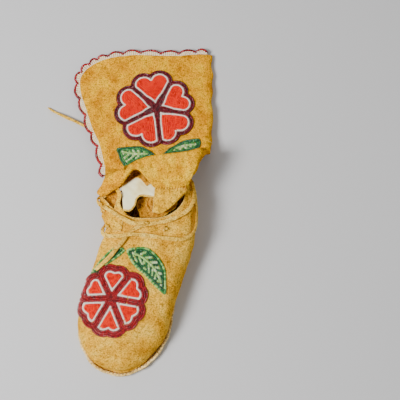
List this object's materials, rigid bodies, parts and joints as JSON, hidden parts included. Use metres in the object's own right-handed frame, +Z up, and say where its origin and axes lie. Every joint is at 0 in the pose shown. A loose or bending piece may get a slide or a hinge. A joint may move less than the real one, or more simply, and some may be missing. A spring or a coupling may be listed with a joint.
{
  "type": "moccasin",
  "caption": "High-top leather moccasin with a hard sole, a folded-back cuff, beaded flowers and leaves, scalloped bead edging and a thong lace.",
  "frame": {"origin": "under the middle of the moccasin's box, on the ground under the sole", "axes": "+Y runs from the toe to the cuff's top edge, +Z is up, +X is the side with the cuff's folded edge"},
  "size_m": [0.1837, 0.3533, 0.056],
  "materials": {
    "buckskin": "napped golden smoked buckskin",
    "rawhide": "stiff matte rawhide",
    "thong_leather": "cut buckskin thong",
    "sinew": "waxed thread",
    "lining_cloth": "soft napped cloth",
    "bead_burgundy": "cut glass beads",
    "bead_white": "opaque glass beads",
    "bead_orange": "opaque glass beads",
    "bead_green": "lined glass beads"
  },
  "bodies": {
    "foot": {"sole": "rawhide", "sole_stitching": "sinew", "upper": "buckskin", "heel_stitching": "sinew", "ankle_lace": "thong_leather", "toe_flower_outline": "bead_burgundy", "toe_flower_border": "bead_white", "toe_flower_fill": "bead_orange", "toe_leaf_right": "bead_green", "toe_leaf_left": "bead_green"},
    "cuff": {"cuff_back": "buckskin", "cuff_lining": "lining_cloth", "cuff_fold": "buckskin", "inner_tie": "thong_leather"},
    "flap": {"cuff_flap": "buckskin", "ankle_tab": "buckskin", "tab_stitching": "sinew", "cuff_tie": "thong_leather", "edging_white_beads": "bead_white", "edging_red_beads": "bead_burgundy", "cuff_flower_outline": "bead_burgundy", "cuff_flower_border": "bead_white", "cuff_flower_fill": "bead_orange", "cuff_leaf_left": "bead_green", "cuff_leaf_right": "bead_green"}
  },
  "joints": [
    {"name": "cuff_raise", "type": "hinge", "parent": "foot", "child": "cuff", "pos_m": [0.0149, -0.0206, 0.049], "axis": [1, 0, 0], "range_deg": [0, 80]},
    {"name": "flap_open", "type": "hinge", "parent": "cuff", "child": "flap", "pos_m": [0.0689, 0.1694, 0.0066], "axis": [0, 0.995, -0.0995], "range_deg": [0, 120], "deforming": ["cuff_fold"]}
  ]
}
